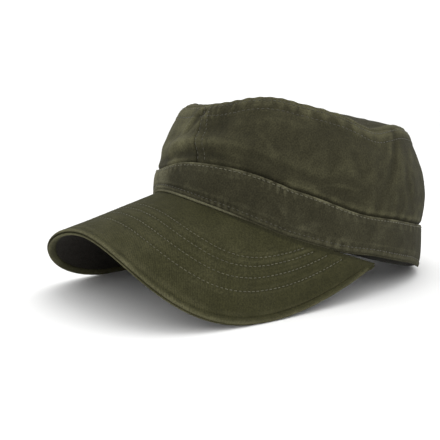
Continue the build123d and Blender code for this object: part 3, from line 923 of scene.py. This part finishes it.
for name, start, end in (("crown_side_left", 0.0, BACK_SEAM),
                         ("crown_side_right", -BACK_SEAM, 0.0)):
    angles = spaced(start + SEAM_HALF_GAP, end - SEAM_HALF_GAP,
                    abs(end - start) / (2 * math.pi) * RING_LENGTH)
    sheet(name + "_cloth", follows_seam(wall_cloth), angles, wall_rises, CROWN_CLOTH, twill,
          wear_and_shade=crown_wear_and_shade, replaces=(name,))

ARCH_ROUND = ARCH_HEIGHT - ARCH_STRAIGHT      # the rear opening's round part
ARCH_RADIUS = (ARCH_HALF_WIDTH ** 2 + ARCH_ROUND ** 2) / (2 * ARCH_ROUND)


def arch_height(x):
    """Height of the rear opening's outline at a place across it."""
    return ARCH_HEIGHT - ARCH_RADIUS + np.sqrt(np.maximum(ARCH_RADIUS ** 2 - x ** 2, 0))


def back_rise(angle, share):
    """Rise on the back panel, which starts at the opening's outline above the band."""
    across = ring(angle)[0]
    outline = (arch_height(across) - band_top(angle)) / (rim_height(angle) - band_top(angle))
    inside = np.abs(across) < ARCH_HALF_WIDTH
    start = np.where(inside, np.maximum(outline, wall_rises[0]), wall_rises[0])
    return blend(start, 1.0, share)


back_angles = spaced(BACK_SEAM + SEAM_HALF_GAP, 2 * math.pi - BACK_SEAM - SEAM_HALF_GAP,
                     RING_LENGTH / 4)
sheet("crown_back_cloth", lambda angle, share: wall_cloth(angle, back_rise(angle, share)),
      back_angles, spaced(0, 1, WALL_TALL), CROWN_CLOTH, twill, replaces=("crown_back_panel",))
top_shares = np.concatenate([[0.0006, 0.02], spaced(0.05, 1.0, 76)])
sheet("crown_top_cloth", top_cloth, spaced(0, 2 * math.pi, 500), top_shares, CROWN_CLOTH, twill,
      closed=True, flip=True, replaces=("crown_top_panel",))


TAPE_DEPTH = 1.25
TAPE_HALF_WIDTH = 0.052                       # radians
INTERLINING_DEPTH = 2.2
INTERLINING_REACH = math.radians(48)


def tape(name, start, end, low, high, depth, material, slot):
    """A strip that lies `depth` behind the crown wall's outer face."""
    lining = raised(wall_base, lambda angle, rise: wall_relief(angle, rise) - depth)
    length = (end - start) / (2 * math.pi) * RING_LENGTH
    sheet(name + "_woven", follows_seam(lining), spaced(start, end, length),
          spaced(low, high, (high - low) * WALL_TALL), 0.35, material, replaces=(name,), slot=slot)


tape("front_interlining", -INTERLINING_REACH, INTERLINING_REACH, 0.05, 0.80, INTERLINING_DEPTH,
     stiff_cloth, "interlining")
for name, seam in zip(("seam_tape_front", "seam_tape_left", "seam_tape_right"), SEAM_ANGLES):
    tape(name, seam - TAPE_HALF_WIDTH, seam + TAPE_HALF_WIDTH, 0.05, 0.85, TAPE_DEPTH, tape_cloth,
         "seam_tape")
tape("crown_rim_tape", SEAM_HALF_GAP, 2 * math.pi - SEAM_HALF_GAP, 0.87, 0.965, TAPE_DEPTH,
     tape_cloth, "seam_tape")

# ---- band and sweatband

def arch_half(height):
    """Half-width of the rear opening at a height."""
    above = np.maximum(height, ARCH_STRAIGHT) - (ARCH_HEIGHT - ARCH_RADIUS)
    return np.sqrt(np.maximum(ARCH_RADIUS ** 2 - above ** 2, 1.0))


def ends_at_arch(surface, low, high):
    """A band-like surface(angle, rise) drawn in at its ends to the rear opening's outline."""
    def shape(share, rise):
        share, rise = np.broadcast_arrays(np.asarray(share, float), np.asarray(rise, float))
        end = math.pi - np.arcsin(arch_half(blend(low(math.pi), high(math.pi), rise)) / END_RADIUS)
        straight = math.pi - math.asin(ARCH_HALF_WIDTH / END_RADIUS)
        angle = (share * straight
                 + np.sign(share) * (end - straight) * smooth(np.abs(share), 0.86, 1.0))
        return surface(angle, rise)
    return shape


def band_wear_and_shade(share, rise):
    """A broken pale line along the top edge, the front faded in patches, and painted shade along
    the hem away from the front.
    """
    points = stacked(share * 260, rise * 28, rise * 0)
    edge = 1.0 * ridge(rise, 1.0, 0.035) * np.clip(0.55 + 0.8 * grain(points, 5.0, 1.9), 0, 1.3)
    at_front = smooth(share, -0.42, -0.3) * (1 - smooth(share, -0.1, 0.0))
    # Painted shade along the hem, away from the front.
    hem_shade = 0.9 * (1 - smooth(rise, 0.01, 0.045)) * smooth(np.abs(share), 0.12, 0.3)
    return (edge + at_front * (0.62 + 0.3 * grain(points, 9.0, 4.1))
            + 0.08 * grain(points, 14.0, 6.3) - hem_shade)


sheet("outer_band_cloth", ends_at_arch(band_cloth, band_hem, band_top),
      spaced(-1, 1, RING_LENGTH * 0.85), spaced(0, 1, 28), BAND_CLOTH, band_twill,
      wear_and_shade=band_wear_and_shade, replaces=("outer_band",))

# The hem's rolled edge, thinner and less worn away from the front.
hem_angles = spaced(-2.64, 2.64, RING_LENGTH * 0.85)
hem_normals = normals_of(band_base, hem_angles, np.zeros_like(hem_angles))
hem_path = band_base(hem_angles, np.zeros_like(hem_angles)) - 0.72 * hem_normals
hem_at_front = 1 - 0.85 * smooth(np.abs(hem_angles), 0.35, 0.8)
hem_gathers = 0.12 * puckers(ring_distance(hem_angles), 4.6, 1.1)
hem_path += np.array([0, 0, 0.35]) + hem_normals * hem_gathers[:, None]
turns = np.linspace(0, 2 * math.pi, 11)[:-1]
cord_profile = stacked(1.15 * np.cos(turns), 0.95 * np.sin(turns))
hem_wear = ((0.85 + 0.3 * grain(hem_path, 12.0, 8.0)) * hem_at_front)[:, None]
sweep_profile("band_hem_roll", hem_path, hem_normals, np.tile([0.0, 0.0, 1.0], (len(hem_path), 1)),
              cord_profile, band_twill, size=blend(1.0, 0.52, smooth(np.abs(hem_angles), 0.4, 0.9)),
              wear_and_shade=(1.1 * np.clip(0.3 + np.cos(turns - 0.5), 0, 1))[None] * hem_wear)


def sweat_top(angle):
    return band_top(angle) - 2.6


def sweat_base(angle, rise):
    x, y = ring(angle, SWEATBAND_INSET)
    return stacked(x, y, blend(hem_height(angle), sweat_top(angle), rise))


def sweat_relief(angle, rise):
    return 0.2 * grain(sweat_base(angle, rise), 13.0, 6.6) - 0.2


sweat_face = raised(sweat_base, sweat_relief)
sheet("sweatband_cloth", ends_at_arch(sweat_face, hem_height, sweat_top),
      spaced(-1, 1, RING_LENGTH * 0.8), spaced(0.03, 1, 25), SWEATBAND_CLOTH, sweat_cloth_shaded,
      replaces=("sweatband",), slot="sweatband_cloth")


def stiffener_face(angle, rise):
    x, y = ring(angle, STIFFENER_INSET)
    return stacked(x, y, blend(band_hem(angle) + 2.5, band_top(angle) - 9.5, rise))


sheet("band_stiffener_canvas", stiffener_face, spaced(-1.98, 1.98, 320), spaced(0, 1, 16), 0.7,
      stiff_cloth, replaces=("band_stiffener",), slot="interlining")


def label_face(angle, height):
    x, y = ring(angle, LABEL_INSET)
    ripple = 0.1 * np.sin(angle * 70)[..., None]
    return stacked(x, y, height) + facing(angle) * ripple


LABEL_START, LABEL_END = math.radians(214), math.radians(234)
LABEL_LOW, LABEL_HIGH = 6, 20
sheet("care_label_satin", label_face, np.linspace(LABEL_START, LABEL_END, 40),
      np.linspace(LABEL_LOW, LABEL_HIGH, 22), 0.4, label_cloth, replaces=("care_label",),
      slot="label_cloth")

# ---- brim

BRIM_ROOT, BRIM_FOLD = -0.035, 0.982          # where the covers start and stop, as reach
half_sweep = math.pi / 2 - TIP
brim_turns = spaced(0, math.pi, 330)
brim_sweeps = math.pi / 2 - half_sweep * np.cos(brim_turns)


def brim_mottle_and_shade(sweep, reach):
    """Mottled, with painted shade where the brim runs into the band, away from the front."""
    points = brim_base(sweep, reach)
    # Painted shade along the brim's root, away from the front.
    root_shade = 1.0 * (1 - smooth(reach, 0.0, 0.03)) * smooth(np.abs(sweep - math.pi / 2), 0.3, 0.7)
    return 0.10 * grain(points, 18.0, 7.9) + 0.04 - root_shade


sheet("brim_upper_cloth", brim_top_cloth, brim_sweeps, spaced(BRIM_ROOT, BRIM_FOLD, 74), BRIM_CLOTH,
      brim_twill, wear_and_shade=brim_mottle_and_shade, replaces=("brim_upper_cover",))
sheet("brim_under_cloth", brim_low_cloth, brim_sweeps, spaced(BRIM_ROOT, BRIM_FOLD, 40), BRIM_CLOTH,
      under_twill_shaded, flip=True, replaces=("brim_under_cover",))
sheet("brim_board_plastic", raised(brim_base, lambda sweep, reach: 0.65 + 0 * sweep),
      brim_sweeps[1:-1], spaced(0.0, 0.95, 30), 1.3, board_plastic, replaces=("brim_board",),
      slot="board")

# The folded welt that wraps the edge.
welt_sweeps = math.pi / 2 - (math.pi / 2 - 0.012) * np.cos(spaced(0, math.pi, 380))
one = np.ones_like(welt_sweeps)
edge_path = brim_base(welt_sweeps, one)
edge_run = unit(np.gradient(edge_path, axis=0))
edge_up = -normals_of(brim_base, welt_sweeps, one)
edge_up = np.where(edge_up[:, 2:] < 0, -edge_up, edge_up)
edge_out = unit(np.cross(edge_up, edge_run))
outward = edge_path - brim_base(welt_sweeps, one * 0.9)
edge_out = np.where(np.sum(edge_out * outward, axis=-1)[:, None] < 0, -edge_out, edge_out)
WELT_OUTLINE = np.array([
    (-3.7, 1.30), (-3.1, 1.78), (-2.3, 1.98), (-1.4, 1.95), (-0.6, 1.70), (-0.05, 1.25),
    (0.10, 0.80), (-0.15, 0.42), (-0.75, 0.20), (-1.15, 0.02), (-0.70, -0.14), (-0.02, -0.34),
    (0.30, -0.80), (0.22, -1.35), (-0.35, -1.85), (-1.3, -2.10), (-2.6, -2.15), (-3.9, -1.95),
    (-5.0, -1.60), (-5.0, -0.8), (-3.7, 0.2)])
welt_path = edge_path + edge_up * (0.10 * puckers(welt_sweeps * TAUT_ROWS, 7.0, 2.2))[:, None]
# Wear round the welt's outline: paler where its crests are worn, and darker in the groove between
# its lobes as painted shade.
welt_wear_and_shade = np.array([
    0.0, 0.1, 0.2, 0.5, 0.95, 1.0, 0.6, -0.4, -1.0, -1.0, -0.8,
    0.3, 0.9, 1.0, 0.9, 0.75, 0.7, 0.6, 0.3, 0, 0])
welt_patches = 0.75 + 0.35 * grain(edge_path, 14.0, 3.7)
sweep_profile("brim_edge_cloth", welt_path, edge_out, edge_up, WELT_OUTLINE, brim_twill, taper=9.0,
              wear_and_shade=welt_wear_and_shade[None] * welt_patches[:, None], replaces=("brim_edge_welt",))

# ---- rear opening, strap and buckle

arch_zs = np.concatenate([np.linspace(0.6, ARCH_STRAIGHT, 16),
                          ARCH_STRAIGHT + ARCH_ROUND * np.sin(np.linspace(0.06, math.pi / 2, 34))])
side_x = arch_half(arch_zs)
side_x[-1] = 0.0
outline_x = np.concatenate([side_x, -side_x[-2::-1]])
outline_z = np.concatenate([arch_zs, arch_zs[-2::-1]])
middle_run = stacked(outline_x, outline_z)
along_run = steps_along(middle_run[None])[0]
even = spaced(0, along_run[-1], along_run[-1])
outline_x, outline_z = np.interp(even, along_run, outline_x), np.interp(even, along_run, outline_z)
run_dir = unit(stacked(np.gradient(outline_x), np.gradient(outline_z)))
inward = stacked(-run_dir[:, 1], run_dir[:, 0])
bind_x, bind_z = outline_x + inward[:, 0] * 1.0, outline_z + inward[:, 1] * 1.0
bind_angle = math.pi - np.arcsin(bind_x / END_RADIUS)
band_rear = band_top(math.pi)
above_band = smooth(bind_z, band_rear - 2.5, band_rear + 2.5)
bind_out = facing(bind_angle)
on_wall = wall_cloth(bind_angle,
                     np.maximum((bind_z - band_rear) / (rim_height(math.pi) - band_rear), 0))
wall_radius = np.hypot(on_wall[:, 0], on_wall[:, 1] - END_CENTRE)
bind_radius = blend(END_RADIUS - 0.55, np.maximum(wall_radius - 0.4, 70.0), above_band)
bind_path = rear_arc(bind_radius, bind_angle, bind_z)
bind_in = unit(np.cross(unit(np.gradient(bind_path, axis=0)), bind_out))
bind_profile = np.array([
    (0.95, -2.1), (1.12, -1.0), (1.12, 0.4), (0.95, 1.5), (0.5, 1.95), (-0.1, 2.0), (-0.6, 1.75),
    (-0.9, 1.0), (-0.95, -0.6), (-0.9, -2.1), (0.0, -2.3)])
bind_wear = np.array([0.1, 0.15, 0.3, 0.55, 0.6, 0.4, 0.2, 0, 0, 0, 0])
sweep_profile("arch_binding_cloth", bind_path, bind_out, bind_in, bind_profile, band_twill,
              wear_and_shade=bind_wear[None] * (0.75 + 0.4 * grain(bind_path, 11.0, 5.0))[:, None],
              replaces=("arch_binding",))


def strap_face(angle, height):
    ripple = 0.04 * grain(stacked(angle * 79, height, 0 * angle), 11.0, 2.0)
    return rear_arc(END_RADIUS - STRAP_INSET + ripple, angle, height)


def hugged(length, low, high):
    """Even steps with closer ones at both ends, for a rounded edge."""
    return np.concatenate([[low, low + 0.35], spaced(low + 1.0, high - 1.0, length),
                           [high - 0.35, high]])


def worn_edges(low, high, strength):
    """Wear along the two edges of a narrow strip."""
    return lambda along, height: strength * (ridge(height, low, 0.5) + ridge(height, high, 0.5))


sheet("back_strap_cloth", strap_face, spaced(math.pi - STRAP_REACH, math.pi + STRAP_REACH, 125),
      hugged(16, STRAP_LOW, STRAP_HIGH), 1.2, band_twill, body="strap", replaces=("back_strap",),
      wear_and_shade=worn_edges(STRAP_LOW, STRAP_HIGH, 0.35))

BAR_ANGLE = math.radians(21)                  # the buckle's bar, which the tab loops round
BAR_RADIUS = END_RADIUS + 0.8
TAB_LOW = 4.0
TAB_HIGH = 18.0
wrap = np.linspace(math.radians(65), math.radians(270), 22)
tab_line = np.concatenate([
    stacked(np.linspace(20.2, 2.6, 26), np.full(26, 0.85)),
    stacked(2.02 * np.cos(wrap), 2.02 * np.sin(wrap)),
    stacked(np.linspace(0.8, 5.2, 6), np.full(6, -2.0))])
tab_run = steps_along(tab_line[None])[0]


def tab_face(along, height):
    across = np.interp(along, tab_run, tab_line[:, 0])
    lift = np.interp(along, tab_run, tab_line[:, 1]) + 0.08 * np.sin(height * 1.1 + along * 0.3)
    angle = BAR_ANGLE + across / BAR_RADIUS
    radius = BAR_RADIUS + lift
    return stacked(radius * np.sin(angle), END_CENTRE + radius * np.cos(angle), height)


sheet("buckle_tab_cloth", tab_face, spaced(0, tab_run[-1], tab_run[-1] * 1.6),
      hugged(14, TAB_LOW, TAB_HIGH), 1.05, band_twill, replaces=("buckle_tab",),
      wear_and_shade=worn_edges(TAB_LOW, TAB_HIGH, 0.4))

for node in ("buckle_frame", "buckle_pin", "buckle_lever"):
    shape = frame["nodes"][node]
    shape.data.materials.clear()
    shape.data.materials.append(brass)

# ---- stitches

all_round = spaced(0.01, 2 * math.pi - 0.01, 500)
wall_tall = rim_height(all_round) - band_top(all_round)
rim_rows = [row_on(wall_cloth, all_round, 1 - row / wall_tall) for row in RIM_ROWS]
stitch_piece("rim_stitches", rim_rows, soft_thread)

seam_rises = np.linspace(0.02, 0.985, 120)
front_rows = [row_on(wall_cloth, seam_line(seam_rises) + across / END_RADIUS, seam_rises)
              for across in FELL_ROWS]
stitch_piece("front_seam_stitches", front_rows, soft_thread)
rear_rows = [row_on(wall_cloth, side * (BACK_SEAM + across / END_RADIUS), seam_rises)
             for side in (1, -1) for across in FELL_ROWS]
stitch_piece("rear_seam_stitches", rear_rows, soft_thread)

band_angles = spaced(-2.62, 2.62, RING_LENGTH * 0.84)
band_tall = band_top(band_angles) - band_hem(band_angles)
inner = slice(12, -12)                        # the top row stops short of the rear opening
band_top_row = row_on(band_cloth, band_angles[inner], (1 - BAND_TOP_ROW / band_tall)[inner])
stitch_piece("band_top_stitches", [band_top_row], thread)
stitch_piece("band_low_stitches", [row_on(band_cloth, band_angles, BAND_LOW_ROW / band_tall)],
             soft_thread)

brim_rows = []
row_sweeps = math.pi / 2 - half_sweep * np.cos(np.linspace(0, math.pi, 600))
for row in range(len(BRIM_ROWS_FRONT)):
    reach = 1 - row_distance(row_sweeps, row) / (brim_width(row_sweeps) * edge_lean(row_sweeps))
    kept = reach > 0.015
    points, normals = row_on(brim_top_cloth, row_sweeps[kept], reach[kept])
    brim_rows.append((points, np.where(normals[:, 2:] < 0, -normals, normals)))
stitch_piece("brim_stitches", brim_rows, thread, length=2.2, pitch=2.9, radius=0.26)

bind_rows = (bind_path + bind_out * 1.12 - bind_in * 1.35, bind_out)
stitch_piece("arch_stitches", [bind_rows], thread, length=2.0, pitch=2.8, radius=0.26)

strap_angles = np.linspace(math.pi - STRAP_REACH + 0.02, math.pi + STRAP_REACH - 0.02, 200)
strap_out = facing(strap_angles)
strap_rows = [(strap_face(strap_angles, np.full_like(strap_angles, height)) - 0.2 * strap_out,
               strap_out)
              for height in (STRAP_LOW + 1.9, STRAP_HIGH - 1.9)]
stitch_piece("strap_stitches", strap_rows, thread, body="strap", length=2.0, pitch=2.8, radius=0.2)

# A crossed box, with its two long sides carried on towards the bar.
near, far, last = 1.5, 9.0, 15.5
under, over = TAB_LOW + 1.7, TAB_HIGH - 1.7
share = np.linspace(0, 1, 40)
tab_rows = []
for start, end in (((near, under), (last, under)), ((near, over), (last, over)),
                   ((near, under), (near, over)), ((far, under), (far, over)),
                   ((near, under), (far, over)), ((near, over), (far, under))):
    along, height = blend(start[0], end[0], share), blend(start[1], end[1], share)
    points = tab_face(along, height)
    out = unit(stacked(points[:, 0], points[:, 1] - END_CENTRE, 0 * height))
    tab_rows.append((points + 0.05 * out, out))
stitch_piece("tab_stitches", tab_rows, thread, length=1.7, pitch=2.3, radius=0.24)

sweat_row_angles = spaced(-2.6, 2.6, RING_LENGTH * 0.8)
sweat_tall = sweat_top(sweat_row_angles) - hem_height(sweat_row_angles)
inner_normals = -normals_of(sweat_base, sweat_row_angles, 0.5 * np.ones_like(sweat_row_angles))
sweat_rows = [(sweat_face(sweat_row_angles, rise) + inner_normals * (SWEATBAND_CLOTH + 0.05),
               inner_normals)
              for rise in (2.2 / sweat_tall, 1 - 2.0 / sweat_tall)]
stitch_piece("sweatband_stitches", sweat_rows, dark_thread, length=2.0, pitch=2.8, radius=0.24)

label_angles = np.linspace(LABEL_START + math.radians(0.8), LABEL_END - math.radians(0.8), 40)
label_in = -facing(label_angles)
label_rows = [(label_face(label_angles, np.full(40, height)) + label_in * 0.45, label_in)
              for height in (LABEL_LOW + 1.2, LABEL_HIGH - 1.2)]
stitch_piece("label_stitches", label_rows, dark_thread, length=1.5, pitch=2.1, radius=0.16)

# ---- setting, lights and camera

def in_scene(name, data):
    thing = bpy.data.objects.new(name, data)
    bpy.context.scene.collection.objects.link(thing)
    return thing


FLOOR_REACH = 4.0
corners = [(side * FLOOR_REACH, end * FLOOR_REACH, 0)
           for side, end in ((-1, -1), (1, -1), (1, 1), (-1, 1))]
floor_mesh = bpy.data.meshes.new("studio_floor")
floor_mesh.from_pydata(corners, [], [(0, 1, 2, 3)])
floor = in_scene("studio_floor", floor_mesh)
floor.data.materials.append(
    mottled_material("studio_paper", 3.0, 4.0, linear(236, 236, 236), linear(246, 246, 245), 0.8))
floor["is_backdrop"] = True

SKY_STRENGTH = 1.17
world = bpy.data.worlds.new("studio")
world.use_nodes = True
sky = world.node_tree.nodes["Background"].inputs
sky["Color"].default_value = (1, 1, 1, 1)
sky["Strength"].default_value = SKY_STRENGTH
bpy.context.scene.world = world
bpy.context.scene.view_settings.view_transform = "Standard"

low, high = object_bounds()
centre = (low + high) / 2
LAMP_SIZE = 0.9
for name, offset, watts in (("overhead", (0.15, 0.0, 1.0), 3.2),
                            ("front_key", (0.75, -0.75, 0.8), 1.8)):
    lamp = bpy.data.lights.new(name, "AREA")
    lamp.shape = "DISK"
    lamp.size = LAMP_SIZE
    lamp.energy = watts
    holder = in_scene(name, lamp)
    holder.location = centre + Vector(offset)
    holder.rotation_mode = "QUATERNION"
    holder.rotation_quaternion = (-Vector(offset)).to_track_quat("-Z", "Y")

CAMERA_AZIMUTH = math.radians(51.465)
CAMERA_ELEVATION = math.radians(6.197)
CAMERA_ROLL = math.radians(-3.680)
CAMERA_DISTANCE = 580.69
CAMERA_TARGET = np.array([-41.92, -30.0, 25.02])
CAMERA_SENSOR = 36.0
CAMERA_LENS = 64.39
back = np.array([math.sin(CAMERA_AZIMUTH) * math.cos(CAMERA_ELEVATION),
                 -math.cos(CAMERA_AZIMUTH) * math.cos(CAMERA_ELEVATION),
                 math.sin(CAMERA_ELEVATION)])
right = np.array([math.cos(CAMERA_AZIMUTH), math.sin(CAMERA_AZIMUTH), 0.0])
up = np.cross(back, right)
right, up = (right * math.cos(CAMERA_ROLL) - up * math.sin(CAMERA_ROLL),
             up * math.cos(CAMERA_ROLL) + right * math.sin(CAMERA_ROLL))
turned_axes = [Vector(to_row(axis) - to_row(np.zeros(3))).normalized()
               for axis in (right, up, back)]
camera_data = bpy.data.cameras.new("photo_camera")
camera_data.sensor_width = CAMERA_SENSOR
camera_data.lens = CAMERA_LENS
camera = in_scene("photo_camera", camera_data)
camera.rotation_mode = "QUATERNION"
camera.rotation_quaternion = Matrix(turned_axes).transposed().to_quaternion()
camera.location = to_row(CAMERA_TARGET + back * CAMERA_DISTANCE)
bpy.context.scene.camera = camera
